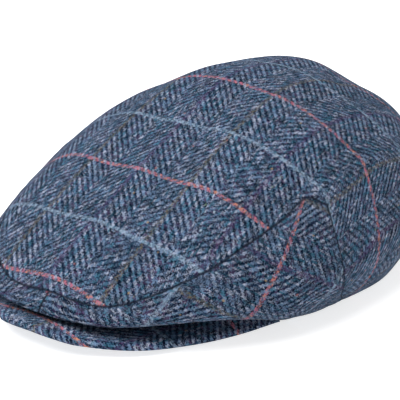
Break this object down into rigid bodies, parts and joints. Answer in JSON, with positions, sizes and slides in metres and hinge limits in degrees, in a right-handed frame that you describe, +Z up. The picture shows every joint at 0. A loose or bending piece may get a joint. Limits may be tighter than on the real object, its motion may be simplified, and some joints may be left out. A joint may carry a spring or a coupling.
{
  "type": "touring cap",
  "caption": "Soft tweed flat cap with a large top panel running down the back, two side panels and a short stiff peak under the front lip.",
  "frame": {"origin": "centre of the cap's box, on the surface that it rests on", "axes": "+Z up, -Y to the front where the peak is, +X to the wearer's left"},
  "size_m": [0.2059, 0.2709, 0.1135],
  "materials": {
    "top_tweed": "blue herringbone wool tweed with a faint overcheck, matt and slightly fuzzy",
    "side_tweed": "the same tweed, a little darker where it turns under",
    "peak_tweed": "the same tweed drawn over a stiff board"
  },
  "bodies": {
    "root": {"crown_top": "top_tweed", "side_panel_left": "side_tweed", "side_panel_right": "side_tweed", "peak": "peak_tweed"}
  },
  "joints": []
}
